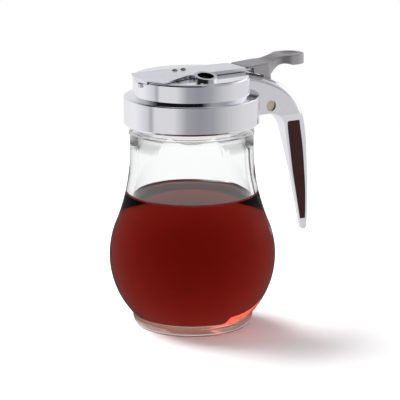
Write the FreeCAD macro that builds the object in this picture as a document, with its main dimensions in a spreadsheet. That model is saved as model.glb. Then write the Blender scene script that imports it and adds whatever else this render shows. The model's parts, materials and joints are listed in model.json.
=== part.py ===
"""Glass syrup dispenser with a chrome screw top, a sliding gate and a thumb lever.

Millimetres, +Z up.  The origin is on the axis of the jar, on the face it stands
on.  The handle points along +X and the pouring lip along -X.
"""
import FreeCAD, Part
import os
import Sketcher

doc = FreeCAD.newDocument("SyrupDispenser")

# ---------------------------------------------------------------------------
# Driving sizes: one named value each
# ---------------------------------------------------------------------------
SIZES = {
    # glass jar
    "belly_dia": 90.0,          # widest part of the jar
    "belly_rise": 38.8,         # height of the widest part
    "belly_arc": 46.6,          # radius of the arc that makes the belly
    "neck_dia": 66.4,
    "neck_length": 22.0,        # straight part, from the shoulder to the rim
    "jar_rise": 120.0,          # height of the glass rim
    "glass_wall": 4.4,
    "glass_floor": 6.6,
    "floor_corner": 5.0,
    "base_dia": 57.0,           # outside of the ring that it stands on
    "base_ring": 3.0,           # width of that ring
    "push_up": 1.4,             # hollow under the base
    "foot_dia": 65.2,
    "foot_rise": 5.4,
    "foot_bevel": 0.4,
    "heel_rise": 3.4,
    "heel_arc": 5.2,
    "waist_rise": 6.3,          # where the belly springs from the foot
    "bead_drop": 4.5,           # glass bead, below the collar
    "bead_arc": 1.6,
    "bead_step": 0.45,
    "rim_round": 0.9,
    # syrup
    "fill_rise": 72.3,
    "fill_gap": 0.05,
    # screw top: collar, shelf and drum
    "thread_gap": 0.35,         # between the neck and the collar
    "collar_wall": 2.75,
    "collar_skirt": 9.1,        # how far the collar hangs below the glass rim
    "collar_height": 15.5,
    "collar_bevel": 1.1,
    "collar_round": 0.7,
    "shelf_width": 5.0,
    "shelf_rise": 1.1,
    "drum_height": 9.8,
    "drum_round": 1.3,
    "shell_wall": 2.2,
    "head_thick": 3.0,
    # trough, slot and nib that the syrup pours through
    "trough_width": 13.2,
    "trough_depth": 1.6,
    "trough_play": 8.0,         # room behind the tongue for the gate's travel
    "slot_width": 9.0,
    "slot_margin": 3.3,         # from the slot to the drum's side
    "slot_length": 6.4,
    "nib_stand": 1.8,           # how far the nib stands out of the drum
    "nib_width": 3.2,
    "nib_drop": 2.0,
    # vent ring
    "vent_along": 3.1,          # ahead of the axis
    "vent_gap": 1.0,            # between the ring and the gate's neck
    "vent_dia": 12.4,
    "vent_bore": 8.6,
    "vent_rise": 2.7,
    "vent_lean": 12.0,
    # gate
    "gate_lift": 0.3,           # running clearance over the drum
    "gate_thick": 1.9,
    "gate_nose": 0.45,          # thickness at the pouring edge
    "gate_ramp_top": 9.0,       # the ramp's upper end, ahead of the axis
    "gate_ramp_low": 23.0,
    "gate_ramp_thick": 0.75,
    "gate_overhang": 0.6,       # how far the pouring edge stands over the drum's side
    "gate_lever_gap": 0.8,
    "gate_end_width": 17.8,
    "gate_tail_gap": 1.4,       # between the gate's tail and the lever's jaw
    "gate_tail_width": 13.6,
    "gate_tail_thick": 0.8,
    "gate_neck": 8.6,
    "gate_neck_width": 22.2,
    "gate_fan_width": 34.0,
    "tongue_gap": 0.4,
    "tongue_lap": 1.2,          # how far the tongue covers the slot's rear edge
    "rivet_dia": 3.2,
    "rivet_rise": 0.9,
    "rivet_edge": 0.2,          # upright edge of the rivet's head
    "rivet_shank": 1.9,
    "rivet_depth": 0.8,
    "rivet_play": 0.05,
    "rivet_side": 4.5,
    "rivet_front": 7.6,         # front rivet, ahead of the axis
    "rivet_pitch": 5.2,
    # handle casting
    "arm_thick": 10.0,
    "root_sink": 1.1,           # the arm springs from within the drum's wall
    "collar_sink": 1.5,         # and, lower down, from within the collar's wall
    "arm_drop": 1.4,            # from the drum's face to the back of the arm
    "arm_lift": 0.7,            # from the collar's foot to the arm's underside
    "arch_start": 8.0,          # slopes of the back, in degrees below +X
    "arch_stop": 26.5,
    "bend_stop": 81.9,
    "grip_stop": 92.8,
    "arch_arc": 74.5,
    "bend_arc": 34.6,
    "grip_arc": 307.0,
    "tip_arc": 2.0,
    "palm_lean": 77.9,
    "throat_arc": 11.0,
    "crown_round": 4.2,
    "crown_flat": 0.2,          # least width left between the two crown rounds
    "tip_thick": 2.2,
    "low_thick": 2.6,
    "low_drop": 34.6,           # how far below the arm's underside it is this thick
    "high_thick": 6.0,
    "high_drop": 12.6,
    "cheek_arc": 49.0,
    "cheek_drop": 2.0,
    # inlay in the grip's two sides
    "web_thick": 0.7,
    "inlay_set_back": 0.2,
    "inlay_gap": 0.12,
    "inlay_drop": 5.7,          # from the arm's underside to the inlay's head
    "inlay_length": 57.1,
    "inlay_head_width": 8.3,
    "inlay_foot_width": 3.4,
    "inlay_arc": 197.0,         # the edge along the back of the grip
    "inlay_corner": 1.0,
    "palm_border_head": 1.9,    # metal left between the inlay and the palm
    "palm_border_foot": 0.4,
    # pivot
    "pin_out": 16.6,            # behind the drum's side
    "pin_lift": 4.3,            # over the arm's underside
    "pin_dia": 3.2,
    "pin_play": 0.05,
    "pin_head_dia": 5.6,
    "pin_head_thick": 0.4,
    "pin_end_play": 0.2,
    "well_dia": 6.2,
    "well_depth": 1.3,
    # thumb lever: heights over the drum's face, and places behind the pivot
    "lever_width": 17.0,
    "lever_overlap": 1.7,       # how far the front reaches over the drum
    "lever_rise": 2.3,
    "lip_rise": 1.55,
    "lip_depth": 4.8,
    "lever_gap": 0.5,           # between the lever and the arch
    "heel_end_back": -2.7,
    "heel_top_rise": -2.8,
    "heel_arc_under": 3.0,
    "neck_foot_back": -0.7,
    "neck_foot_lift": -2.3,
    "neck_under_back": 3.7,
    "neck_under_lift": 0.6,
    "neck_under_arc": 9.1,
    "pad_under_back": 11.6,
    "pad_under_lift": 0.5,
    "pad_toe": 1.3,             # rounding under the pad's free end
    "pad_end_back": 22.9,
    "pad_lift": 5.8,
    "pad_start_back": 12.1,
    "neck_crown_arc": 35.0,
    "neck_turn_back": 0.6,
    "neck_turn_lift": 3.85,
    "neck_hollow_arc": 14.0,
    "neck_start_back": -3.4,
    "neck_start_lift": 3.2,
    "waist_back": 3.6,
    "waist_width": 11.4,
    "waist_arc": 8.0,
    "waist_flank": 6.0,
    "nose_corner": 1.8,
    "dish_back": 14.7,
    "dish_width": 12.0,
    "dish_depth": 0.9,
    "lever_round": 0.55,
    "leg_thick": 4.0,
    "leg_play": 0.4,
    "leg_width": 6.0,
    "leg_lean": 4.9,
    "leg_head_lift": -0.3,
    "leg_sink": 0.5,
    "swing": 20.0,
}

# What lines up with another piece, worked out from the sizes above
PLACES = {
    "shoulder_top": "jar_rise - neck_length",
    "collar_foot": "jar_rise - collar_skirt",
    "bead_rise": "collar_foot - bead_drop",
    "collar_dia": "neck_dia + 2 * (thread_gap + collar_wall)",
    "collar_head": "collar_foot + collar_height",
    "drum_dia": "collar_dia - 2 * shelf_width",
    "drum_foot": "collar_head + shelf_rise",
    "drum_head": "drum_foot + drum_height",
    "slot_front": "drum_dia / 2 - slot_margin",
    "slot_back": "slot_front - slot_length",
    "tongue_end": "slot_back - tongue_lap",
    "trough_end": "tongue_end - trough_play",
    "nib_reach": "drum_dia / 2 + nib_stand",
    "vent_side": "gate_neck_width / 2 + vent_gap + vent_dia / 2",
    "arm_root": "drum_dia / 2 - root_sink",
    "collar_root": "collar_dia / 2 - collar_sink",
    "arm_head": "drum_head - arm_drop",
    "arm_bottom": "collar_foot + arm_lift",
    "low_rise": "arm_bottom - low_drop",
    "high_rise": "arm_bottom - high_drop",
    "cheek_rise": "arm_bottom - cheek_drop",
    "inlay_head": "arm_bottom - inlay_drop",
    "inlay_foot": "inlay_head - inlay_length",
    "pin_along": "drum_dia / 2 + pin_out",
    "pin_rise": "arm_bottom + pin_lift",
    "lever_front": "drum_dia / 2 - lever_overlap",
    "jaw_front": "lever_front + lip_depth",
    "lever_top": "drum_head + lever_rise",
    "lip_floor": "drum_head + lip_rise",
    "heel_end": "pin_along + heel_end_back",
    "heel_top": "drum_head + heel_top_rise",
    "neck_foot": "pin_along + neck_foot_back",
    "neck_foot_rise": "drum_head + neck_foot_lift",
    "neck_under": "pin_along + neck_under_back",
    "neck_under_rise": "drum_head + neck_under_lift",
    "pad_under": "pin_along + pad_under_back",
    "pad_under_rise": "drum_head + pad_under_lift",
    "pad_end": "pin_along + pad_end_back",
    "pad_rise": "drum_head + pad_lift",
    "pad_start": "pin_along + pad_start_back",
    "neck_turn": "pin_along + neck_turn_back",
    "neck_turn_rise": "drum_head + neck_turn_lift",
    "neck_start": "pin_along + neck_start_back",
    "neck_start_rise": "drum_head + neck_start_lift",
    "waist_along": "pin_along + waist_back",
    "dish_along": "pin_along + dish_back",
    "leg_head": "drum_head + leg_head_lift",
    "gate_reach": "drum_dia / 2 + gate_overhang",
    "gate_end": "lever_front - gate_lever_gap",
    "gate_tail": "jaw_front - gate_tail_gap",
}

sheet = doc.addObject("Spreadsheet::Sheet", "Sizes")
for row, (alias, number) in enumerate(SIZES.items(), start=1):
    sheet.set(f"A{row}", alias.replace("_", " "))
    sheet.set(f"B{row}", repr(number))
    sheet.setAlias(f"B{row}", alias)
doc.recompute()


def bound(text):
    """The expression with every size read from the sheet, and every place spelt out."""
    words = []
    word = ""
    for letter in text + " ":
        if letter.isalnum() or letter == "_":
            word += letter
            continue
        if word in PLACES:
            word = "(" + bound(PLACES[word]) + ")"
        words.append("Sizes." + word if word in SIZES else word)
        words.append(letter)
        word = ""
    return "".join(words).strip()


def value(text):
    """What the expression comes to."""
    result = sheet.evalExpression(bound(text))
    return float(getattr(result, "Value", result))


# ---------------------------------------------------------------------------
# Bodies, sketches and features
# ---------------------------------------------------------------------------
def new_body(label):
    body = doc.addObject("PartDesign::Body", label)
    body.Label = label
    return body


def new_sketch(body, role, name, place=None, turn=None):
    """A sketch on one of the body's own origin planes, shifted by expressions."""
    sketch = body.newObject("Sketcher::SketchObject", name)
    planes = [item for item in body.Origin.OriginFeatures if item.Role == role]
    sketch.AttachmentSupport = [(planes[0], "")]
    sketch.MapMode = "FlatFace"
    if place:
        for axis, text in zip("xyz", place):
            sketch.setExpression(f".AttachmentOffset.Base.{axis}", bound(text))
    if turn:
        sketch.AttachmentOffset = FreeCAD.Placement(
            sketch.AttachmentOffset.Base, FreeCAD.Rotation(FreeCAD.Vector(1, 0, 0), 1))
        sketch.setExpression(".AttachmentOffset.Rotation.Angle", bound(turn))
    return sketch


def pin_down(sketch, geo, pos, x, y):
    """Ties one point of the sketch to two expressions."""
    if x == "0" and y == "0":
        sketch.addConstraint(Sketcher.Constraint("Coincident", geo, pos, -1, 1))
        return
    for text, kind, axis in ((x, "DistanceX", -2), (y, "DistanceY", -1)):
        if text == "0":
            sketch.addConstraint(Sketcher.Constraint("PointOnObject", geo, pos, axis))
            continue
        number = sketch.addConstraint(
            Sketcher.Constraint(kind, -1, 1, geo, pos, value(text)))
        sketch.setExpression(f"Constraints[{number}]", bound(text))


def arc_between(start, end, radius, turn):
    """The shorter arc from start to end; turn is 1 to the left and -1 to the right."""
    chord = end - start
    half = chord.Length / 2
    side = FreeCAD.Vector(-chord.y, chord.x, 0).normalize() * turn
    centre = (start + end) / 2 + side * max(radius**2 - half**2, 0.0) ** 0.5
    first, last = (start, end) if turn > 0 else (end, start)
    angles = [FreeCAD.Vector(1, 0, 0).getAngle(p - centre) for p in (first, last)]
    angles = [a if p.y >= centre.y else -a for a, p in zip(angles, (first, last))]
    if angles[1] < angles[0]:
        angles[1] += 2 * 3.141592653589793
    return Part.ArcOfCircle(Part.Circle(centre, FreeCAD.Vector(0, 0, 1), radius), *angles)


def outline(sketch, corners):
    """A closed loop.  A corner is (x, y), or (x, y, radius, turn) when an arc leaves it."""
    points = [FreeCAD.Vector(value(c[0]), value(c[1]), 0) for c in corners]
    ends = []
    for index, corner in enumerate(corners):
        start, end = points[index], points[(index + 1) % len(points)]
        if len(corner) == 2:
            geo = sketch.addGeometry(Part.LineSegment(start, end), False)
            ends.append((geo, 1, 2))
            continue
        radius, turn = corner[2], corner[3]
        geo = sketch.addGeometry(arc_between(start, end, value(radius), turn), False)
        ends.append((geo, 1, 2) if turn > 0 else (geo, 2, 1))
    for index, (geo, first, last) in enumerate(ends):
        after = ends[(index + 1) % len(ends)]
        sketch.addConstraint(Sketcher.Constraint("Coincident", geo, last, after[0], after[1]))
    for corner, (geo, first, last) in zip(corners, ends):
        pin_down(sketch, geo, first, corner[0], corner[1])
    for corner, (geo, first, last) in zip(corners, ends):
        if len(corner) > 2:
            number = sketch.addConstraint(
                Sketcher.Constraint("Radius", geo, value(corner[2])))
            sketch.setExpression(f"Constraints[{number}]", bound(corner[2]))
    return sketch


def ring(sketch, x, y, radius):
    """A circle whose centre and radius are expressions."""
    centre = FreeCAD.Vector(value(x), value(y), 0)
    circle = Part.Circle(centre, FreeCAD.Vector(0, 0, 1), value(radius))
    geo = sketch.addGeometry(circle, False)
    pin_down(sketch, geo, 3, x, y)
    number = sketch.addConstraint(Sketcher.Constraint("Radius", geo, value(radius)))
    sketch.setExpression(f"Constraints[{number}]", bound(radius))
    return sketch


def flipped(corner, back=None):
    """The corner on the other side of the X axis, with the arc that leads back."""
    y = corner[1] if corner[1] == "0" else f"-({corner[1]})"
    return (corner[0], y) + tuple(back or ())


def both_sides(half):
    """A loop that is the same on both sides of the X axis, from its half."""
    loop = list(half)
    if half[-1][1] == "0":
        loop[-1] = half[-1][:2] + half[-2][2:]
    order = list(range(len(half) - 1, -1, -1))
    for index in order:
        if half[index][1] == "0":
            continue
        back = half[index - 1][2:] if index > 0 else None
        loop.append(flipped(half[index], back))
    return loop


def finish_feature(body, feature, grows):
    """Recomputes, and checks that the feature added or took away material."""
    before = 0.0
    if feature.BaseFeature:
        before = feature.BaseFeature.Shape.Volume
    doc.recompute()
    after = feature.Shape.Volume
    if (after > before) != grows:
        raise RuntimeError(f"{body.Label}/{feature.Name}: {before:.1f} -> {after:.1f}")
    return feature


def extrude(body, kind, sketch, length=None, middle=False, other_way=False, name=None):
    """A Pad or a Pocket; with no length it goes through everything."""
    feature = body.newObject("PartDesign::" + kind, name or kind)
    feature.Profile = sketch
    if length:
        feature.setExpression("Length", bound(length))
    else:
        feature.Type = "ThroughAll"
    feature.Midplane = middle
    feature.Reversed = other_way
    sketch.Visibility = False
    return finish_feature(body, feature, kind == "Pad")


def turn_round(body, kind, sketch, name=None):
    """A Revolution or a Groove about the sketch's upright axis."""
    feature = body.newObject("PartDesign::" + kind, name or kind)
    feature.Profile = sketch
    feature.ReferenceAxis = (sketch, ["V_Axis"])
    feature.Angle = 360.0
    sketch.Visibility = False
    return finish_feature(body, feature, kind == "Revolution")


def round_edges(body, radius, wanted, name=None):
    """A fillet on those edges of the body whose test holds."""
    base = body.Tip
    names = [f"Edge{i}" for i, edge in enumerate(base.Shape.Edges, start=1) if wanted(edge)]
    feature = body.newObject("PartDesign::Fillet", name or "Fillet")
    feature.Base = (base, names)
    feature.setExpression("Radius", bound(radius))
    return finish_feature(body, feature, False)


def middle_of(edge):
    return edge.valueAt((edge.FirstParameter + edge.LastParameter) / 2)


# ---------------------------------------------------------------------------
# Jar: one revolved section, the same belly and shoulder arcs inside and out
# ---------------------------------------------------------------------------
NECK = "neck_dia / 2"
CORE = "(belly_dia / 2 - belly_arc)"                # how far off the axis the belly is centred
LIFT = "(shoulder_top - belly_rise)"
REACH = "(neck_dia / 2 - belly_dia / 2 + belly_arc)"
SHOULDER = f"(({REACH}^2 + {LIFT}^2 - belly_arc^2) / (2 * (belly_arc - {REACH})))"
SPAN = f"(belly_arc + {SHOULDER})"


def belly_meets_shoulder(inset):
    """The point where the two arcs run into each other, inset from the outside."""
    share = f"(belly_arc - ({inset})) / {SPAN}"
    return (f"{CORE} + ({REACH} + {SHOULDER}) * {share}", f"belly_rise + {LIFT} * {share}")


def inner_floor(inset, floor, corner):
    """Where the rounded corner of the floor begins and ends."""
    arm = f"(belly_arc - ({inset}) - ({corner}))"
    drop = f"(belly_rise - ({floor}) - ({corner}))"
    across = f"sqrt({arm}^2 - {drop}^2)"
    share = f"(belly_arc - ({inset})) / {arm}"
    flat = (f"{CORE} + {across}", floor)
    wall = (f"{CORE} + {across} * {share}", f"belly_rise - {drop} * {share}")
    return flat, wall


jar = new_body("jar")
section = new_sketch(jar, "XZ_Plane", "JarSection")
meet = belly_meets_shoulder("0")
meet_in = belly_meets_shoulder("glass_wall")
flat, wall = inner_floor("glass_wall", "glass_floor", "floor_corner")
waist = f"{CORE} + sqrt(belly_arc^2 - (belly_rise - waist_rise)^2)"
bead_half = "sqrt(bead_arc^2 - (bead_arc - bead_step)^2)"
dome = "((base_dia / 2 - base_ring)^2 + push_up^2) / (2 * push_up)"
outline(section, [
    ("0", "push_up", dome, -1),
    ("base_dia / 2 - base_ring", "0"),
    ("base_dia / 2", "0", "heel_arc", 1),
    ("foot_dia / 2 - foot_bevel", "heel_rise"),
    ("foot_dia / 2", "foot_rise"),
    (waist, "waist_rise", "belly_arc", 1),
    (meet[0], meet[1], SHOULDER, -1),
    (NECK, "shoulder_top"),
    (NECK, f"bead_rise - {bead_half}", "bead_arc", 1),
    (NECK, f"bead_rise + {bead_half}"),
    (NECK, "jar_rise - rim_round", "rim_round", 1),
    (NECK + " - rim_round", "jar_rise"),
    (NECK + " - glass_wall + rim_round", "jar_rise", "rim_round", 1),
    (NECK + " - glass_wall", "jar_rise - rim_round"),
    (NECK + " - glass_wall", "shoulder_top", f"{SHOULDER} + glass_wall", 1),
    (meet_in[0], meet_in[1], "belly_arc - glass_wall", -1),
    (wall[0], wall[1], "floor_corner", -1),
    (flat[0], flat[1]),
    ("0", "glass_floor"),
])
turn_round(jar, "Revolution", section, "JarWall")

# ---------------------------------------------------------------------------
# Syrup: fills the jar's inner shape up to its level
# ---------------------------------------------------------------------------
syrup = new_body("syrup")
section = new_sketch(syrup, "XZ_Plane", "SyrupSection")
inset = "glass_wall + fill_gap"
floor = "glass_floor + fill_gap"
meet_fill = belly_meets_shoulder(inset)
flat, wall = inner_floor(inset, floor, "floor_corner - fill_gap")
bulge = f"{SHOULDER} + {inset}"
level = f"{NECK} + {SHOULDER} - sqrt(({bulge})^2 - (shoulder_top - fill_rise)^2)"
outline(section, [
    ("0", floor),
    (flat[0], floor, "floor_corner - fill_gap", 1),
    (wall[0], wall[1], f"belly_arc - ({inset})", 1),
    (meet_fill[0], meet_fill[1], bulge, -1),
    (level, "fill_rise"),
    ("0", "fill_rise"),
])
turn_round(syrup, "Revolution", section, "SyrupFill")

# ---------------------------------------------------------------------------
# Cap: collar, shelf and drum are one hollow revolved shell
# ---------------------------------------------------------------------------
cap = new_body("cap")
section = new_sketch(cap, "XZ_Plane", "CapSection")
BORE = "neck_dia / 2 + thread_gap"
outline(section, [
    (BORE, "collar_foot"),
    ("collar_dia / 2 - collar_bevel", "collar_foot"),
    ("collar_dia / 2", "collar_foot + collar_bevel"),
    ("collar_dia / 2", "collar_head - collar_round", "collar_round", 1),
    ("collar_dia / 2 - collar_round", "collar_head"),
    ("drum_dia / 2", "drum_foot"),
    ("drum_dia / 2", "drum_head - drum_round", "drum_round", 1),
    ("drum_dia / 2 - drum_round", "drum_head"),
    ("0", "drum_head"),
    ("0", "drum_head - head_thick"),
    ("drum_dia / 2 - shell_wall", "drum_head - head_thick"),
    ("drum_dia / 2 - shell_wall", "jar_rise"),
    (BORE, "jar_rise"),
])
turn_round(cap, "Revolution", section, "CapShell")

# The handle is cast on: its side outline, one bend running into the next
ARCH_X = "arm_root + arch_arc * (sin(arch_stop) - sin(arch_start))"
ARCH_Z = "arm_head - arch_arc * (cos(arch_start) - cos(arch_stop))"
BEND_X = ARCH_X + " + bend_arc * (sin(bend_stop) - sin(arch_stop))"
BEND_Z = ARCH_Z + " - bend_arc * (cos(arch_stop) - cos(bend_stop))"
GRIP_X = BEND_X + " + grip_arc * (sin(grip_stop) - sin(bend_stop))"
GRIP_Z = BEND_Z + " - grip_arc * (cos(bend_stop) - cos(grip_stop))"
TIP_X = GRIP_X + " - tip_arc * (sin(palm_lean) + sin(grip_stop))"
TIP_Z = GRIP_Z + " - tip_arc * (cos(grip_stop) + cos(palm_lean))"
THROAT_Z = "arm_bottom - throat_arc * (1 - cos(palm_lean))"
THROAT_X = f"{TIP_X} - ({THROAT_Z} - ({TIP_Z})) / tan(palm_lean)"
handle = new_sketch(cap, "XZ_Plane", "HandleOutline")
outline(handle, [
    ("collar_root", "arm_bottom"),
    ("collar_root", "jar_rise + 1"),
    ("arm_root", "jar_rise + 1"),
    ("arm_root", "arm_head", "arch_arc", -1),
    (ARCH_X, ARCH_Z, "bend_arc", -1),
    (BEND_X, BEND_Z, "grip_arc", -1),
    (GRIP_X, GRIP_Z),
    (TIP_X, TIP_Z),
    (THROAT_X, THROAT_Z, "throat_arc", 1),
    (THROAT_X + " - throat_arc * sin(palm_lean)", "arm_bottom"),
])
extrude(cap, "Pad", handle, "arm_thick", middle=True, name="Handle")


def on_back(edge):
    """The long curved edges of the arch, the bend and the back of the grip."""
    side = edge.BoundBox.YLength < 0.01 and abs(middle_of(edge).y) > value("arm_thick / 2") - 0.01
    return side and isinstance(edge.Curve, Part.Circle) and edge.Curve.Radius > 20


round_edges(cap, "min(crown_round; (arm_thick - crown_flat) / 2)", on_back, "Crown")


def grip_sides(sketch, inset):
    """Two areas beside the grip, whose edges are the grip's tapering sides."""
    for side in (1, -1):
        sign = "" if side > 0 else "-"
        loop = [
            (f"{sign}(tip_thick / 2 - ({inset}))", "inlay_foot - 20"),
            (f"{sign}(arm_thick)", "inlay_foot - 20"),
            (f"{sign}(arm_thick)", "cheek_rise"),
            (f"{sign}(arm_thick / 2 - ({inset}))", "cheek_rise", "cheek_arc", side),
            (f"{sign}(high_thick / 2 - ({inset}))", "high_rise"),
            (f"{sign}(low_thick / 2 - ({inset}))", "low_rise"),
        ]
        outline(sketch, loop)


taper = new_sketch(cap, "YZ_Plane", "GripTaper")
grip_sides(taper, "0")
extrude(cap, "Pocket", taper, middle=True, name="GripTaperCut")
tip = new_sketch(cap, "XZ_Plane", "TipOutline")
outline(tip, [(GRIP_X, GRIP_Z, "tip_arc", -1), (TIP_X, TIP_Z)])
extrude(cap, "Pad", tip, "tip_thick", middle=True, name="Tip")

# Recess in both sides of the grip, which leaves a thin web
def inlay_corners(gap):
    """The inlay's outline: straight along the palm and an arc along the back."""
    head_x = f"{TIP_X} - (inlay_head - ({TIP_Z})) / tan(palm_lean) + palm_border_head"
    foot_x = f"{TIP_X} - (inlay_foot - ({TIP_Z})) / tan(palm_lean) + palm_border_foot"
    lean = f"(({foot_x}) - ({head_x})) / (inlay_head - inlay_foot)"
    low, high = f"inlay_foot + ({gap})", f"inlay_head - ({gap})"
    return [
        (f"{foot_x} + ({gap})", low),
        (f"{foot_x} + inlay_foot_width - ({gap})", low, "inlay_arc", 1),
        (f"{head_x} + inlay_head_width - ({gap})", f"{high} - inlay_corner", "inlay_corner", 1),
        (f"{head_x} + inlay_head_width - ({gap}) - inlay_corner", high),
        (f"{head_x} + ({gap}) + inlay_corner", high, "inlay_corner", 1),
        (f"{head_x} + ({gap}) + inlay_corner * {lean}", f"{high} - inlay_corner"),
    ]


for side, name in ((1, "Near"), (-1, "Far")):
    recess = new_sketch(cap, "XZ_Plane", name + "Recess", place=("0", "0", f"{side} * web_thick / 2"))
    outline(recess, inlay_corners("0"))
    extrude(cap, "Pocket", recess, "arm_thick", other_way=side > 0, name=name + "RecessCut")

# Slot for the lever's leg, wide enough for its swing, and the pin's bore
slot = new_sketch(cap, "XZ_Plane", "LegSlot")
room = "(leg_width / 2 + leg_play)"
tilt = "(swing - leg_lean)"
outline(slot, [
    (f"pin_along - {room}", "pin_rise"),
    (f"pin_along - {room}", "arm_head + 3"),
    (f"pin_along + {room} / cos({tilt}) + (arm_head + 3 - pin_rise) * tan({tilt})", "arm_head + 3"),
    (f"pin_along + {room} * cos({tilt})", f"pin_rise - {room} * sin({tilt})", room, -1),
    (f"pin_along", f"pin_rise - {room}", room, -1),
])
extrude(cap, "Pocket", slot, "leg_thick + 2 * leg_play", middle=True, name="LegSlotCut")
bore = new_sketch(cap, "XZ_Plane", "PinBore")
ring(bore, "pin_along", "pin_rise", "pin_dia / 2 + pin_play")
extrude(cap, "Pocket", bore, middle=True, name="PinBoreCut")
for side, name in ((1, "Near"), (-1, "Far")):
    well = new_sketch(cap, "XZ_Plane", name + "Well",
                      place=("0", "0", f"{side} * (arm_thick / 2 - well_depth)"))
    ring(well, "pin_along", "pin_rise", "well_dia / 2")
    extrude(cap, "Pocket", well, "arm_thick", other_way=side > 0, name=name + "WellCut")

# Trough in the drum's face, the slot through its floor and the nib under its lip
trough = new_sketch(cap, "XY_Plane", "Trough", place=("0", "0", "drum_head - trough_depth"))
outline(trough, [
    ("-trough_end", "trough_width / 2"),
    ("-(drum_dia / 2 + 2)", "trough_width / 2"),
    ("-(drum_dia / 2 + 2)", "-trough_width / 2"),
    ("-trough_end", "-trough_width / 2"),
])
extrude(cap, "Pocket", trough, "trough_depth + 2", other_way=True, name="TroughCut")
nib = new_sketch(cap, "XY_Plane", "Nib", place=("0", "0", "drum_head - trough_depth - nib_drop"))
outline(nib, [
    ("-(drum_dia / 2 - 1)", "-nib_width / 2"),
    ("-(drum_dia / 2 - 1)", "nib_width / 2"),
    ("-(nib_reach - nib_width / 2)", "nib_width / 2", "nib_width / 2", 1),
    ("-nib_reach", "0", "nib_width / 2", 1),
    ("-(nib_reach - nib_width / 2)", "-nib_width / 2"),
])
extrude(cap, "Pad", nib, "nib_drop", name="NibPad")
slot = new_sketch(cap, "XY_Plane", "PourSlot", place=("0", "0", "drum_head - head_thick - 1"))
outline(slot, [
    ("-slot_back", "slot_width / 2"),
    ("-slot_front", "slot_width / 2"),
    ("-slot_front", "-slot_width / 2"),
    ("-slot_back", "-slot_width / 2"),
])
extrude(cap, "Pocket", slot, "head_thick", other_way=True, name="PourSlotCut")

# Vent ring, which leans outward from the drum's face
vent = new_sketch(cap, "XY_Plane", "VentRing",
                  place=("-vent_along", "-vent_side", "drum_head - head_thick / 2"), turn="vent_lean")
ring(vent, "0", "0", "vent_dia / 2")
extrude(cap, "Pad", vent, "vent_rise + head_thick / 2", name="VentPad")
vent = new_sketch(cap, "XY_Plane", "VentBore",
                  place=("-vent_along", "-vent_side", "drum_head - head_thick / 2"), turn="vent_lean")
ring(vent, "0", "0", "vent_bore / 2")
extrude(cap, "Pocket", vent, middle=True, name="VentBoreCut")

# ---------------------------------------------------------------------------
# Inlays: dark strips sunk in the two recesses, with the grip's own taper
# ---------------------------------------------------------------------------
for side, name in ((1, "right"), (-1, "left")):
    inlay = new_body("handle_inlay_" + name)
    strip = new_sketch(inlay, "XZ_Plane", "Strip" + name.title(),
                       place=("0", "0", f"{side} * (web_thick / 2 + inlay_gap)"))
    outline(strip, inlay_corners("inlay_gap"))
    extrude(inlay, "Pad", strip, "arm_thick / 2", other_way=side < 0, name="Strip" + name.title() + "Pad")
    trim = new_sketch(inlay, "YZ_Plane", "Trim" + name.title())
    grip_sides(trim, "inlay_set_back")
    extrude(inlay, "Pocket", trim, middle=True, name="Trim" + name.title() + "Cut")

# ---------------------------------------------------------------------------
# Pivot pin: riveted over at both ends
# ---------------------------------------------------------------------------
pin = new_body("pivot_pin")
shaft = new_sketch(pin, "XZ_Plane", "PinShaft")
ring(shaft, "pin_along", "pin_rise", "pin_dia / 2")
extrude(pin, "Pad", shaft, "arm_thick - 2 * well_depth + pin_end_play", middle=True, name="PinShaftPad")
for side, name in ((1, "Near"), (-1, "Far")):
    head = new_sketch(pin, "XZ_Plane", name + "Head",
                      place=("0", "0", f"{side} * (arm_thick / 2 - well_depth + pin_play)"))
    ring(head, "pin_along", "pin_rise", "pin_head_dia / 2")
    extrude(pin, "Pad", head, "pin_head_thick", other_way=side < 0, name=name + "HeadPad")

# ---------------------------------------------------------------------------
# Gate: a plate with a ramped, flared front and a tongue that lies in the trough
# ---------------------------------------------------------------------------
gate = new_body("gate")
plate = new_sketch(gate, "XZ_Plane", "GateSide")
FACE = "drum_head + gate_lift"
outline(plate, [
    ("-(gate_reach + 1)", FACE),
    ("gate_tail", FACE),
    ("gate_tail", FACE + " + gate_tail_thick"),
    ("gate_end", FACE + " + gate_tail_thick"),
    ("gate_end", FACE + " + gate_thick"),
    ("-gate_ramp_top", FACE + " + gate_thick"),
    ("-gate_ramp_low", FACE + " + gate_ramp_thick"),
    ("-(gate_reach + 1)", FACE + " + gate_nose"),
])
extrude(gate, "Pad", plate, "2 * gate_fan_width", middle=True, name="GateBar")
plan = new_sketch(gate, "XY_Plane", "GatePlan")
fan_x = "sqrt(gate_reach^2 - gate_fan_width^2 / 4)"
half = [
    ("gate_tail", "gate_tail_width / 2"),
    ("gate_end", "gate_tail_width / 2"),
    ("gate_end", "gate_end_width / 2"),
    ("-gate_neck", "gate_neck_width / 2"),
    ("-" + fan_x, "gate_fan_width / 2", "gate_reach", 1),
    ("-gate_reach", "0"),
]
outline(plan, both_sides(half))
edge_half = "(gate_fan_width + 2)"
outline(plan, [
    ("gate_tail + 20", edge_half),
    ("-(gate_reach + 20)", edge_half),
    ("-(gate_reach + 20)", "-" + edge_half),
    ("gate_tail + 20", "-" + edge_half),
])
extrude(gate, "Pocket", plan, middle=True, name="GatePlanCut")
tongue = new_sketch(gate, "XY_Plane", "Tongue",
                    place=("0", "0", "drum_head - trough_depth + tongue_gap"))
tongue_half = "(trough_width / 2 - tongue_gap)"
front_x = f"sqrt(gate_reach^2 - {tongue_half}^2)"
outline(tongue, [
    ("-tongue_end", tongue_half),
    ("-" + front_x, tongue_half, "gate_reach", 1),
    ("-" + front_x, "-" + tongue_half),
    ("-tongue_end", "-" + tongue_half),
])
extrude(gate, "Pad", tongue, "trough_depth - tongue_gap + gate_lift + gate_nose / 2", name="TonguePad")
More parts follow.
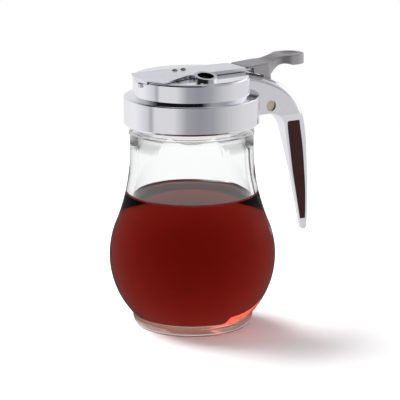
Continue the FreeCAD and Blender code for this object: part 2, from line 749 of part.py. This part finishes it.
for index, name in enumerate(("Front", "Rear")):
    hole = new_sketch(gate, "XY_Plane", name + "Hole",
                      place=("0", "0", FACE + " + gate_thick - rivet_depth"))
    ring(hole, f"-rivet_front + {index} * rivet_pitch", "rivet_side", "rivet_shank / 2 + rivet_play")
    extrude(gate, "Pocket", hole, "rivet_depth + 1", other_way=True, name=name + "HoleCut")

for index in range(2):
    rivet = new_body(f"gate_rivet_{index + 1}")
    cut = new_sketch(rivet, "XZ_Plane", f"RivetSection{index + 1}",
                     place=(f"-rivet_front + {index} * rivet_pitch", "0", "-rivet_side"))
    top = FACE + " + gate_thick"
    cap_arc = "((rivet_dia / 2)^2 + (rivet_rise - rivet_edge)^2) / (2 * (rivet_rise - rivet_edge))"
    outline(cut, [
        ("0", top + " - rivet_depth + rivet_play"),
        ("rivet_shank / 2", top + " - rivet_depth + rivet_play"),
        ("rivet_shank / 2", top),
        ("rivet_dia / 2", top),
        ("rivet_dia / 2", top + " + rivet_edge", cap_arc, 1),
        ("0", top + " + rivet_rise"),
    ])
    turn_round(rivet, "Revolution", cut, f"RivetTurn{index + 1}")

# ---------------------------------------------------------------------------
# Thumb lever: side outline, plan outline, dish and leg
# ---------------------------------------------------------------------------
lever = new_body("lever")
side_view = new_sketch(lever, "XZ_Plane", "LeverSide")
HUB_X = "(arm_root - arch_arc * sin(arch_start))"
HUB_Z = "(arm_head - arch_arc * cos(arch_start))"
UNDER = "(arch_arc + lever_gap)"
outline(side_view, [
    ("lever_front", "lip_floor"),
    ("lever_front", "lever_top"),
    ("neck_start", "neck_start_rise", "neck_hollow_arc", 1),
    ("neck_turn", "neck_turn_rise", "neck_crown_arc", -1),
    ("pad_start", "pad_rise"),
    ("pad_end", "pad_rise"),
    ("pad_end", "pad_under_rise + pad_toe", "pad_toe", -1),
    ("pad_end - pad_toe", "pad_under_rise"),
    ("pad_under", "pad_under_rise", "neck_under_arc", 1),
    ("neck_under", "neck_under_rise"),
    ("neck_foot", "neck_foot_rise", "heel_arc_under", -1),
    ("heel_end", "heel_top"),
    ("heel_end", f"{HUB_Z} + sqrt({UNDER}^2 - (heel_end - {HUB_X})^2)", UNDER, 1),
    ("jaw_front", f"{HUB_Z} + sqrt({UNDER}^2 - (jaw_front - {HUB_X})^2)"),
    ("jaw_front", "lip_floor"),
])
extrude(lever, "Pad", side_view, "2 * lever_width", middle=True, name="LeverBar")
plan = new_sketch(lever, "XY_Plane", "LeverPlan")
WIDE = "lever_width / 2"
S = "(waist_arc + waist_flank)"
D = "((lever_width - waist_width) / 2)"
shift = f"sqrt({S}^2 - ({S} - {D})^2)"
share = f"waist_flank / {S}"
turn_y = f"{WIDE} - waist_flank + ({S} - {D}) * {share}"
half = [
    ("lever_front", "0"),
    ("lever_front", f"-({WIDE} - nose_corner)", "nose_corner", 1),
    ("lever_front + nose_corner", f"-({WIDE})"),
    (f"waist_along - {shift}", f"-({WIDE})", "waist_flank", 1),
    (f"waist_along - {shift} * (1 - {share})", f"-({turn_y})", "waist_arc", -1),
    (f"waist_along + {shift} * (1 - {share})", f"-({turn_y})", "waist_flank", 1),
    (f"waist_along + {shift}", f"-({WIDE})"),
    (f"pad_end - {WIDE}", f"-({WIDE})", WIDE, 1),
    ("pad_end", "0"),
]
outline(plan, both_sides(half))
outline(plan, [
    ("lever_front - 20", "3 * lever_width"),
    ("pad_end + 20", "3 * lever_width"),
    ("pad_end + 20", "-3 * lever_width"),
    ("lever_front - 20", "-3 * lever_width"),
])
extrude(lever, "Pocket", plan, middle=True, name="LeverPlanCut")


def on_rim(edge):
    """The long edges between the lever's top and its sides."""
    low = min(vertex.Z for vertex in edge.Vertexes)
    across = edge.BoundBox.XLength < 0.01 and middle_of(edge).x > value("lever_front") + 0.01
    return low > value("lever_top") - 0.01 and not across


round_edges(lever, "lever_round", on_rim, "LeverRim")
dish = new_sketch(lever, "XZ_Plane", "Dish", place=("dish_along", "0", "0"))
DISH_ARC = "((dish_width^2 / 4 + dish_depth^2) / (2 * dish_depth))"
outline(dish, [
    ("0", "pad_rise - dish_depth", DISH_ARC, 1),
    ("dish_width / 2", "pad_rise"),
    ("dish_width / 2", "pad_rise + 1"),
    ("0", "pad_rise + 1"),
])
turn_round(lever, "Groove", dish, "DishCut")
leg = new_sketch(lever, "XZ_Plane", "Leg")
LEG = "(leg_width / 2)"
outline(leg, [
    (f"pin_along - {LEG}", "pin_rise"),
    (f"pin_along - {LEG}", "heel_top + leg_sink"),
    (f"pin_along + {LEG} / cos(leg_lean) - (leg_head - pin_rise) * tan(leg_lean)", "leg_head"),
    (f"pin_along + {LEG} * cos(leg_lean)", f"pin_rise + {LEG} * sin(leg_lean)", LEG, -1),
    ("pin_along", f"pin_rise - {LEG}", LEG, -1),
])
extrude(lever, "Pad", leg, "leg_thick", middle=True, name="LegPad")
eye = new_sketch(lever, "XZ_Plane", "Eye")
ring(eye, "pin_along", "pin_rise", "pin_dia / 2 + pin_play")
extrude(lever, "Pocket", eye, middle=True, name="EyeCut")

# ---------------------------------------------------------------------------
# Check and write
# ---------------------------------------------------------------------------
doc.recompute()
for item in doc.Objects:
    if {"Invalid", "Error"} & set(item.State):
        raise RuntimeError(f"{item.Name} is in a bad state: {item.State}")

os.makedirs("parts", exist_ok=True)
for body in [item for item in doc.Objects if item.TypeId == "PartDesign::Body"]:
    shape = body.Shape
    if shape.isNull() or not shape.isValid() or len(shape.Solids) != 1:
        raise RuntimeError(f"{body.Label} is not one valid solid")
    shape.exportStep(f"parts/{body.Label}.step")
    box = shape.BoundBox
    print(f"{body.Label:20s} {shape.Volume:10.1f} mm3  {box.XMin:7.2f} {box.XMax:7.2f} "
          f"{box.YMin:7.2f} {box.YMax:7.2f} {box.ZMin:7.2f} {box.ZMax:7.2f}")
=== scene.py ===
import bpy
import json
import math
from mathutils import Matrix, Vector

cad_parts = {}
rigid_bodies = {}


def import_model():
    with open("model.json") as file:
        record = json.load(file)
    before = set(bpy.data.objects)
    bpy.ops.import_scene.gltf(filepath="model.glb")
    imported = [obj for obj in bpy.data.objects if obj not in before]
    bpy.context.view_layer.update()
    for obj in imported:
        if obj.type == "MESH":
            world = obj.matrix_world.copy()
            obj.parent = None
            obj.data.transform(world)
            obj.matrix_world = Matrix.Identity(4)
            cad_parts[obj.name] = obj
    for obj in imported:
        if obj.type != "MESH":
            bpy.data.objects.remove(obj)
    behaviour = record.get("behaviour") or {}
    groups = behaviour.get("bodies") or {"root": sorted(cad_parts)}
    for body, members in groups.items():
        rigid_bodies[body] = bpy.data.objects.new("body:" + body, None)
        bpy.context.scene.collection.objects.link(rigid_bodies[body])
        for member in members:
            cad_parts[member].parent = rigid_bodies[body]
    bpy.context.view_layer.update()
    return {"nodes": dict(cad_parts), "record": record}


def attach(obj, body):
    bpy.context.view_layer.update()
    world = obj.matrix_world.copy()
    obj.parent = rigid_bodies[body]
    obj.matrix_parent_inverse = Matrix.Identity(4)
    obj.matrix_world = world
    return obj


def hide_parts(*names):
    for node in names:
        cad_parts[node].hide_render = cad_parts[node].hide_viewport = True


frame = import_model()
nodes = frame["nodes"]

# ---------------------------------------------------------------------------
# Table and studio
# The dispenser stands on a white sheet under one large soft lamp, high behind
# its pouring side, with a weaker fill lamp in front and a pale room around it.
# ---------------------------------------------------------------------------
VIEW_TURN = math.radians(32.0)
FLOOR_HALF, FLOOR_DROP = 4.0, 0.0001
CORNERS = ((-1, -1), (1, -1), (1, 1), (-1, 1))
WHITE, BLACK = (1, 1, 1, 1), (0, 0, 0, 1)
SHEET_LIFT = 0.35
LAMPS_FACE = Vector((0, 0, 0.06))
# The share of the mirrored room cut out, as painted shade, where perfectly sharp glass mirrors it,
# so that the glass has no grey veil
SHARP_GLASS_DIMMING = 0.88


class Field:
    """A value, colour or vector that varies over a surface, so that maths on it adds nodes."""

    def __init__(self, finish, socket):
        self.finish = finish
        self.socket = socket

    def math(self, operation, *others):
        return self.finish.node("ShaderNodeMath", {"operation": operation}, [self, *others])

    def __add__(self, other):
        return self.math("ADD", other)

    def __mul__(self, other):
        return self.math("MULTIPLY", other)

    def __sub__(self, other):
        return self.math("SUBTRACT", other)

    def __rsub__(self, other):
        return self.finish.node("ShaderNodeMath", {"operation": "SUBTRACT"}, [other, self])

    def above(self, limit):
        """One where this is over a limit, and nought elsewhere."""
        return self.math("GREATER_THAN", limit)

    def span(self, start, stop, low, high):
        """Goes from low to high as this goes from start to stop, and is level outside them."""
        return self.finish.node("ShaderNodeMapRange", values=[self, start, stop, low, high])


class Finish:
    """A finish being put together: its material or world, and the nodes in it."""

    def __init__(self, holder, **constants):
        self.holder = holder
        holder.use_nodes = True
        self.tree = holder.node_tree
        self.shader = self.tree.nodes.get("Principled BSDF")
        for name, number in constants.items():
            self.shader.inputs[name.replace("_", " ")].default_value = number

    def node(self, kind, settings=None, values=(), output=0):
        """A node with its settings made first, then the values or links of its sockets."""
        made = self.tree.nodes.new(kind)
        for name, setting in (settings or {}).items():
            if name == "stops":
                ramp = made.color_ramp
                while len(ramp.elements) > 1:
                    ramp.elements.remove(ramp.elements[-1])
                for index, (place, colour) in enumerate(setting):
                    stop = ramp.elements[0] if index == 0 else ramp.elements.new(place)
                    stop.position = place
                    stop.color = (*colour, 1.0)
            else:
                setattr(made, name, setting)
        pairs = values.items() if isinstance(values, dict) else enumerate(values)
        for key, given in pairs:
            if isinstance(given, Field):
                self.tree.links.new(given.socket, made.inputs[key])
            else:
                made.inputs[key].default_value = given
        return Field(self, made.outputs[output])

    def feed(self, name, field):
        self.tree.links.new(field.socket, self.shader.inputs[name])

    def surface(self, field, output="Material Output", name="Surface"):
        self.tree.links.new(field.socket, self.tree.nodes[output].inputs[name])

    def mix(self, share, low, high):
        """A colour between two colours: the node has them at sockets 6 and 7."""
        values = {0: share, 6: low, 7: high}
        return self.node("ShaderNodeMix", {"data_type": "RGBA"}, values, output=2)

    def blend(self, share, first, second):
        """The first shader where a share is nought, and the second where it is one."""
        return self.node("ShaderNodeMixShader", values=[share, first, second])

    def glow(self, colour, strength=1.0):
        """Light of a colour, given off in all directions."""
        return self.node("ShaderNodeEmission", values={"Color": colour, "Strength": strength})

    def ray(self, kind):
        """What the renderer knows of the ray that arrives, such as whether it is a camera ray."""
        return self.node("ShaderNodeLightPath", output=kind)

    def axes(self, where):
        """The three parts of a vector."""
        parts = self.node("ShaderNodeSeparateXYZ", values=[where]).socket.node.outputs
        return [Field(self, part) for part in parts]

    def let_lamps_in(self, clear, solid):
        """Lamps shine through at a clear share, and where solid is nought so does everything."""
        open_air = self.node("ShaderNodeBsdfTransparent")
        glassy = self.blend(solid, open_air, Field(self, self.shader.outputs[0]))
        shaded = self.node("ShaderNodeBsdfTransparent", values=[(clear, clear, clear, 1.0)])
        self.surface(self.blend(self.ray("Is Shadow Ray"), glassy, shaded))

    def place(self, scale=(1, 1, 1)):
        """Object coordinates, in metres, stretched by a scale."""
        spot = self.node("ShaderNodeTexCoord", output="Object")
        return self.node("ShaderNodeMapping", values={"Vector": spot, "Scale": scale})

    def seen_from_front(self, coordinates):
        """Coordinates turned to run right, away from the camera and up."""
        spot = self.node("ShaderNodeTexCoord", output=coordinates)
        turn = {"Vector": spot, "Rotation": (0, 0, VIEW_TURN)}
        return self.axes(self.node("ShaderNodeMapping", values=turn))

    def noise(self, where, scale, detail=3.0, roughness=0.5):
        values = {"Vector": where, "Scale": scale, "Detail": detail, "Roughness": roughness}
        return self.node("ShaderNodeTexNoise", values=values)

    def relief(self, height, distance, strength):
        """Feeds a height, in metres when distance is 1, to the shader's normal."""
        values = {"Height": height, "Distance": distance, "Strength": strength}
        self.feed("Normal", self.node("ShaderNodeBump", values=values))


def plain_mesh(name, points, faces):
    """A piece made from its points and faces, at the origin."""
    mesh = bpy.data.meshes.new(name)
    mesh.from_pydata(points, [], faces)
    mesh.validate()
    mesh.update()
    mesh.shade_smooth()
    piece = bpy.data.objects.new(name, mesh)
    bpy.context.scene.collection.objects.link(piece)
    return piece


floor = plain_mesh(
    "floor",
    [(x * FLOOR_HALF, y * FLOOR_HALF, -FLOOR_DROP) for x, y in CORNERS],
    [(0, 1, 2, 3)],
)
paper = (0.86, 0.86, 0.86, 1.0)
sheet = Finish(bpy.data.materials.new("white_sheet"), Roughness=0.9, Base_Color=paper)
seen = sheet.ray("Is Camera Ray")
through = sheet.ray("Is Transmission Ray")
mirrored = sheet.ray("Is Glossy Ray") * (1.0 - through)
on_glass = sheet.ray("Is Singular Ray") * mirrored
# What polished metal shows of the sheet is a glow of painted room reflection, all round from
# behind by way of the left:
# it is pale, with one painted darker streak at the left and a broad painted grey card in front
across, ahead = sheet.seen_from_front("Object")[:2]
bearing = sheet.node("ShaderNodeMath", {"operation": "ARCTAN2"}, [across, ahead * -1.0])
share = bearing * (0.5 / math.pi) + 0.5
room = sheet.node(
    "ShaderNodeValToRGB",
    {"stops": [
        (0.000, (0.84, 0.84, 0.86)),
        (0.200, (0.95, 0.95, 0.98)),
        (0.285, (0.68, 0.68, 0.71)),
        (0.305, (0.42, 0.42, 0.44)),
        (0.325, (0.78, 0.78, 0.80)),
        (0.420, (0.78, 0.78, 0.79)),
        (0.480, (0.38, 0.38, 0.41)),
        (0.540, (0.32, 0.32, 0.35)),
        (0.600, (0.38, 0.38, 0.41)),
        (0.680, (0.62, 0.62, 0.63)),
        (0.760, (0.76, 0.76, 0.78)),
        (1.000, (0.80, 0.80, 0.84)),
    ]},
    [share],
)
# Mirrored rays see this glow of painted room reflection, dimmed, as painted shade, in perfectly
# sharp glass
painted_room_glow = sheet.glow(room, 1.0 - on_glass * SHARP_GLASS_DIMMING)
# Looked at, the sheet is lifted to white where no shadow falls, and far off it is plain white
base = Field(sheet, sheet.shader.outputs[0])
more = sheet.blend(SHEET_LIFT, sheet.glow(BLACK, 0.0), base)
bright = sheet.node("ShaderNodeAddShader", values=[base, more])
white = sheet.glow(WHITE)
distance_squared = across * across + ahead * ahead
shown = sheet.blend(distance_squared.span(0.05, 0.25, 0.0, 1.0), bright, white)
# Through glass it is white too, but next to the foot it glows rosy, as painted light standing for
# the light that the syrup above it colours
painted_glow_share = distance_squared.span(0.0018, 0.0060, 1.0, 0.0)
beyond = sheet.blend(painted_glow_share, white, sheet.glow((0.62, 0.34, 0.26, 1)))
plain = sheet.blend(through, sheet.blend(seen, base, shown), beyond)
sheet.surface(sheet.blend(mirrored, plain, painted_room_glow))
floor.data.materials.append(sheet.holder)

world = bpy.data.worlds.new("room")
bpy.context.scene.world = world
sky = Finish(world)
back = sky.tree.nodes["Background"]
back.inputs["Color"].default_value = (0.86, 0.87, 0.9, 1.0)
back.inputs["Strength"].default_value = 0.40
# Mirrored, the room is pale low down behind, overhead and to the right, and dark elsewhere
sideways, depth, height = sky.seen_from_front("Generated")
behind = depth.span(-0.15, 0.35, 0.02, 1.0)
low = height.span(0.35, 0.75, 1.0, 0.03)
overhead = height.span(0.82, 0.93, 0.0, 0.75)
flank = sideways.span(0.30, 0.60, 0.0, 0.5)
# Where perfectly sharp glass mirrors this room, it is dimmed, as painted shade
glare = (behind * low + overhead + flank) * (1.0 - sky.ray("Is Singular Ray") * SHARP_GLASS_DIMMING)
pale = sky.node("ShaderNodeBackground", values={"Color": (0.80, 0.80, 0.84, 1), "Strength": glare})
# Through glass it is white, and dimmer when it is mirrored as well
bounced = sky.ray("Glossy Depth").above(0.5)
window = {"Color": WHITE, "Strength": 1.0 - bounced * 0.6}
beyond = sky.node("ShaderNodeBackground", values=window)
white = sky.node("ShaderNodeBackground", values={"Color": WHITE, "Strength": 1.0})
shade = sky.blend(sky.ray("Is Glossy Ray"), Field(sky, back.outputs[0]), pale)
shade = sky.blend(sky.ray("Is Transmission Ray"), shade, beyond)
sky.surface(sky.blend(sky.ray("Is Camera Ray"), shade, white), "World Output")


def studio(right, ahead, up):
    """A point given by how far it lies right of, behind and above the jar's foot, as seen."""
    c, s = math.cos(VIEW_TURN), math.sin(VIEW_TURN)
    return (right * c + ahead * s, -right * s + ahead * c, up)


def lamp(name, place, size, power):
    """A square soft lamp that faces the syrup, and that nothing mirrors."""
    light = bpy.data.lights.new(name, "AREA")
    light.shape = "SQUARE"
    light.size = size
    light.energy = power
    holder = bpy.data.objects.new(name, light)
    bpy.context.scene.collection.objects.link(holder)
    aim = LAMPS_FACE - Vector(place)
    facing = aim.to_track_quat("-Z", "Y").to_matrix().to_4x4()
    holder.matrix_world = Matrix.Translation(place) @ facing
    holder.visible_glossy = False


lamp("key_lamp", studio(-0.63, 0.54, 1.03), size=0.95, power=30.0)
lamp("fill_lamp", studio(0.6, -1.5, 1.6), size=1.2, power=6.0)

# ---------------------------------------------------------------------------
# Camera
# A long lens in front of the dispenser, that looks down a little on its lid.
# ---------------------------------------------------------------------------
SENSOR, FOCAL_LENGTH = 36.0, 195.72
PITCH, ROLL = 0.2383, 0.0043
CAMERA_PLACE = studio(0.00426, -1.14119, 0.34568)

lens = bpy.data.cameras.new("camera")
lens.sensor_width = SENSOR
lens.lens = FOCAL_LENGTH
camera = bpy.data.objects.new("camera", lens)
bpy.context.scene.collection.objects.link(camera)
right = Vector(studio(1, 0, 0))
up = Vector(studio(0, math.sin(PITCH), math.cos(PITCH)))
cam_right = right * math.cos(ROLL) - up * math.sin(ROLL)
cam_up = right * math.sin(ROLL) + up * math.cos(ROLL)
turn = Matrix((cam_right, cam_up, cam_right.cross(cam_up))).transposed().to_4x4()
camera.matrix_world = Matrix.Translation(CAMERA_PLACE) @ turn
bpy.context.scene.camera = camera
bpy.context.scene.view_settings.view_transform = "Standard"

# ---------------------------------------------------------------------------
# Jar
# Thick pressed soda-lime glass in a teardrop, with a foot ring, a pressed-up
# base and a bead under the collar. One piece, screwed into the cap.
# ---------------------------------------------------------------------------
BELLY_R, BELLY_ARC, BELLY_Z = 0.045, 0.0466, 0.0388
NECK_R, SHOULDER_Z = 0.0332, 0.098
RIM_Z, RIM_ROUND = 0.120, 0.0009
WALL, FLOOR_Z, FLOOR_R, FLOOR_CORNER = 0.0044, 0.0066, 0.03, 0.005
FOOT_R, FOOT_ROUND, WAIST_Z = 0.0283, 0.0038, 0.0063
BEAD_Z, BEAD_ARC, BEAD_STEP, BEAD_EASE = 0.1064, 0.0016, 0.00045, 0.00025
TURN_STEPS, WALL_STEPS = 160, 48


def sweep(centre, radius, start, stop, count):
    """Points of an arc in the jar's section, from one angle to another in degrees."""
    turns = [math.radians(start + (stop - start) * i / count) for i in range(count + 1)]
    return [(centre[0] + radius * math.cos(a), centre[1] + radius * math.sin(a)) for a in turns]


def lathe(name, section):
    """Turns a closed section about the upright axis; its first and last points are on it."""
    points, faces, rings = [], [], []
    for radius, height in section:
        if radius < 1e-7:
            rings.append([len(points)])
            points.append((0.0, 0.0, height))
            continue
        rings.append(list(range(len(points), len(points) + TURN_STEPS)))
        for i in range(TURN_STEPS):
            a = 2 * math.pi * i / TURN_STEPS
            points.append((radius * math.cos(a), radius * math.sin(a), height))
    for low, high in zip(rings, rings[1:]):
        for i in range(TURN_STEPS):
            j = (i + 1) % TURN_STEPS
            loop = [low[i % len(low)], low[j % len(low)], high[j % len(high)], high[i % len(high)]]
            loop = list(dict.fromkeys(loop))
            if len(loop) > 2:
                faces.append(loop)
    return plain_mesh(name, points, faces)


# The belly's arc and the shoulder's hollow arc meet smoothly on the line of their centres
CORE = BELLY_R - BELLY_ARC
REACH, LIFT = NECK_R - CORE, SHOULDER_Z - BELLY_Z
SHOULDER_ARC = (REACH**2 + LIFT**2 - BELLY_ARC**2) / (2 * (BELLY_ARC - REACH))
BELLY = (CORE, BELLY_Z)
HOLLOW = (NECK_R + SHOULDER_ARC, SHOULDER_Z)
JOIN = math.degrees(math.atan2(HOLLOW[1] - BELLY[1], HOLLOW[0] - BELLY[0]))


def wall_line(inset, floor_z, top):
    """The jar's wall from the floor up to a height, at an inset from its outside."""
    arm = BELLY_ARC - inset - FLOOR_CORNER
    low = math.degrees(math.asin((floor_z + FLOOR_CORNER - BELLY_Z) / arm))
    bend = (CORE + arm * math.cos(math.radians(low)), floor_z + FLOOR_CORNER)
    line = sweep(bend, FLOOR_CORNER, -90, low, 10)[:-1]
    line += sweep(BELLY, BELLY_ARC - inset, low, JOIN, WALL_STEPS)[:-1]
    radius = SHOULDER_ARC + inset
    stop = 180 + math.degrees(math.asin((SHOULDER_Z - min(top, SHOULDER_Z)) / radius))
    line += sweep(HOLLOW, radius, 180 + JOIN, stop, WALL_STEPS)
    if top > SHOULDER_Z:
        line.append((NECK_R - inset, top))
    return line


# From the middle of the pressed-up base out to the ring that the jar stands on
outside = [(0.0, 0.0014), (0.008, 0.0013), (0.016, 0.0009), (0.0225, 0.0003), (0.0248, 0.0002)]
outside += [(0.0255, 0.0), (FOOT_R, 0.0)]
# Up the rounded side of the foot and over the small step at its top
outside += sweep((FOOT_R, FOOT_ROUND), FOOT_ROUND, -84, -12, 10)
outside += [(0.03255, 0.0045), (0.0326, 0.0054), (0.0325, 0.0057), (0.0322, 0.0060)]
# Belly and shoulder
waist_turn = math.degrees(math.asin((WAIST_Z - BELLY_Z) / BELLY_ARC))
outside += sweep(BELLY, BELLY_ARC, waist_turn, JOIN, 64)[:-1]
outside += sweep(HOLLOW, SHOULDER_ARC, 180 + JOIN, 180, 56)
# Neck with its bead, and the rim
bead_turn = math.degrees(math.acos((BEAD_ARC - BEAD_STEP) / BEAD_ARC))
bead_half = BEAD_ARC * math.sin(math.radians(bead_turn)) + BEAD_EASE
outside += [(NECK_R, BEAD_Z - bead_half)]
outside += sweep((NECK_R + BEAD_STEP - BEAD_ARC, BEAD_Z), BEAD_ARC, -bead_turn, bead_turn, 12)
outside += [(NECK_R, BEAD_Z + bead_half)]
outside += sweep((NECK_R - RIM_ROUND, RIM_Z - RIM_ROUND), RIM_ROUND, 0, 90, 6)
inside = wall_line(WALL, FLOOR_Z, RIM_Z - RIM_ROUND)
inside += sweep((NECK_R - WALL + RIM_ROUND, RIM_Z - RIM_ROUND), RIM_ROUND, 180, 90, 6)
jar = lathe("jar_glass", outside + inside[::-1] + [(0.0, FLOOR_Z)])

glass = Finish(
    bpy.data.materials.new("clear_glass"),
    Roughness=0.0,
    IOR=1.5,
    Transmission_Weight=1.0,
    Base_Color=(0.985, 0.99, 0.99, 1.0),
    Specular_Tint=(0.1, 0.1, 0.1, 1.0),
)
# Pressed glass is never quite flat: a slow swell shifts what is seen through it
swell = glass.noise(glass.place(), 38.0, 1.0)
glass.relief(swell, 0.0012, 0.35)
# Under the collar and at the foot the glass is partly see-through, a stand-in, as painted light,
# for the light that runs along inside the wall and gets out again there
rise = glass.axes(glass.place())[2]
neck = rise.span(0.098, 0.104, 1.0, 0.3)
foot = rise.span(0.0035, 0.0055, 0.5, 1.0)
# The bead's upper and lower slopes stay the more solid, so that it shows as two lines
off_bead = (rise - BEAD_Z).math("ABSOLUTE")
bead_side = off_bead.math("COMPARE", 0.0010, 0.0003)
glass.let_lamps_in(1.0, neck * foot + bead_side * 0.5)
# Where the syrup wets the inside of the wall, the glass shows no surface
wet = Finish(bpy.data.materials.new("wet_glass"))
wet.surface(wet.node("ShaderNodeBsdfTransparent"))
jar.data.materials.append(glass.holder)
jar.data.materials.append(wet.holder)
FILL_Z, CREEP = 0.0723, 0.0009
WET_SLOT, WET_SLACK = 1, 0.0005
for face in jar.data.polygons:
    out = Vector((face.center.x, face.center.y, 0.0))
    on_wall = face.normal.dot(out.normalized()) < -0.05
    on_floor = face.normal.z > 0.9 and out.length < FLOOR_R
    if (on_wall or on_floor) and FLOOR_Z - WET_SLACK < face.center.z < FILL_Z + CREEP:
        face.material_index = WET_SLOT
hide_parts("jar")
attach(jar, frame["record"]["behaviour"]["joints"][0]["parent"])

# ---------------------------------------------------------------------------
# Syrup
# Dark red-brown syrup, about three quarters full, that wets the glass: its
# surface creeps up the wall a little, and it lets little but red light through.
# ---------------------------------------------------------------------------
WET = 0.0001
MENISCUS = 0.0034
SURFACE_SKIN = 0.00004

surface = wall_line(WALL - WET, FLOOR_Z - WET, FILL_Z + CREEP)
edge = surface[-1][0]
shares = (0.1, 0.25, 0.45, 0.7, 1.0)
meniscus = [(edge - MENISCUS * t, FILL_Z + CREEP * (1 - t) ** 2.6) for t in shares]
syrup = lathe("syrup_fill", [(0.0, FLOOR_Z - WET)] + surface + meniscus + [(0.0, FILL_Z)])
thick = Finish(
    bpy.data.materials.new("syrup"),
    Roughness=0.0,
    IOR=1.46,
    Transmission_Weight=1.0,
    Base_Color=WHITE,
)
# Only its top has a surface: at the wall the syrup and the glass run together
top = thick.axes(thick.place())[2].above(FILL_Z - SURFACE_SKIN)
thick.let_lamps_in(0.36, top)
soaked = {"Color": (0.65, 0.10, 0.0, 1.0), "Density": 75.0}
thick.surface(thick.node("ShaderNodeVolumeAbsorption", values=soaked), name="Volume")
syrup.data.materials.append(thick.holder)
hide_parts("syrup")
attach(syrup, "dispenser")

# ---------------------------------------------------------------------------
# Cap
# One casting with its collar, drum, vent ring and handle, polished and chrome
# plated, and screwed on to the jar's neck.
# ---------------------------------------------------------------------------
VENT_X, VENT_Y, VENT_Z = 0.0031, 0.0183, 0.1358
VENT_LEAN, BORE_R = math.radians(12.0), 0.00442

chrome = Finish(bpy.data.materials.new("chrome"), Metallic=1.0)
wave = chrome.noise(chrome.place(), 70.0, 1.0)
chrome.relief(wave, 0.0002, 0.12)
# The vent ring's bore is painted near-black inside, as painted shade for the deep hole
along, sidelong, rise = chrome.axes(chrome.place())
from_axis = along + VENT_X
out_from = (sidelong + VENT_Y) * math.cos(VENT_LEAN) + (rise - VENT_Z) * math.sin(VENT_LEAN)
outside_painted_bore = (from_axis * from_axis + out_from * out_from).above(BORE_R**2)
chrome.feed("Base Color", chrome.mix(outside_painted_bore, (0.012, 0.011, 0.011, 1), (0.86, 0.86, 0.88, 1)))
smear = chrome.noise(chrome.place(), 260.0, 4.0, 0.6)
chrome.feed("Roughness", smear * 0.10 + 0.05)


def dress(node, finish):
    """Gives a CAD node its finish."""
    mesh = nodes[node].data
    for index in range(len(mesh.materials)):
        mesh.materials[index] = finish.holder
    if not len(mesh.materials):
        mesh.materials.append(finish.holder)


dress("cap", chrome)

# ---------------------------------------------------------------------------
# Handle inlays
# Dark brown moulded strips, glued in the recesses in the handle's two sides.
# ---------------------------------------------------------------------------
brown = Finish(bpy.data.materials.new("dark_inlay"), Specular_IOR_Level=0.2)
grain = brown.noise(brown.place((1, 1, 0.25)), 900.0, 4.0, 0.6)
tone = brown.noise(brown.place(), 60.0, 3.0)
brown.feed("Base Color", brown.mix(tone, (0.034, 0.006, 0.005, 1), (0.062, 0.014, 0.012, 1)))
brown.feed("Roughness", grain * 0.25 + 0.32)
brown.relief(grain, 0.00012, 0.5)
dress("handle_inlay_left", brown)
dress("handle_inlay_right", brown)

# ---------------------------------------------------------------------------
# Pivot pin
# A plain steel pin with a yellowish passivated face, riveted over at both ends.
# ---------------------------------------------------------------------------
pin = Finish(bpy.data.materials.new("pin_steel"), Metallic=0.9, Roughness=0.42)
blotch = pin.noise(pin.place(), 700.0, 3.0)
pin.feed("Base Color", pin.mix(blotch, (0.62, 0.52, 0.36, 1), (0.80, 0.72, 0.55, 1)))
pin.relief(blotch, 0.0002, 0.4)
dress("pivot_pin", pin)

# ---------------------------------------------------------------------------
# Thumb lever
# Cast metal with a satin, slightly grainy and patchy skin. It turns on the
# pivot pin.
# ---------------------------------------------------------------------------
cast = Finish(bpy.data.materials.new("lever_metal"), Metallic=1.0)
sand = cast.noise(cast.place(), 1500.0, 4.0, 0.65)
patch = cast.noise(cast.place(), 130.0, 3.0)
cast.feed("Base Color", cast.mix(patch, (0.42, 0.40, 0.40, 1), (0.58, 0.56, 0.56, 1)))
cast.feed("Roughness", patch * 0.22 + 0.28)
cast.relief(sand, 0.00018, 0.6)
dress("lever", cast)

# ---------------------------------------------------------------------------
# Gate and its rivets
# A plated plate that slides on the drum's face, brushed along its travel, with
# two polished domed rivets pressed into it.
# ---------------------------------------------------------------------------
plate = Finish(bpy.data.materials.new("gate_metal"), Metallic=1.0)
brush = plate.noise(plate.place((0.06, 1, 1)), 1800.0, 3.0, 0.6)
cloud = plate.noise(plate.place(), 90.0, 3.0)
plate.feed("Base Color", plate.mix(cloud, (0.74, 0.74, 0.77, 1), (0.84, 0.84, 0.88, 1)))
plate.feed("Roughness", brush * 0.16 + 0.16)
plate.relief(brush, 0.00008, 0.4)
dress("gate", plate)
# The rivets' dark base colour is painted shade, standing for the dark room that their polished
# domed heads mirror
painted_dark_rivet = Finish(bpy.data.materials.new("rivet_steel"), Metallic=1.0, Roughness=0.12)
speck = painted_dark_rivet.noise(painted_dark_rivet.place(), 800.0, 2.0)
painted_dark_rivet.feed("Base Color", painted_dark_rivet.mix(speck, (0.22, 0.22, 0.24, 1), (0.34, 0.34, 0.36, 1)))
dress("gate_rivet_1", painted_dark_rivet)
dress("gate_rivet_2", painted_dark_rivet)
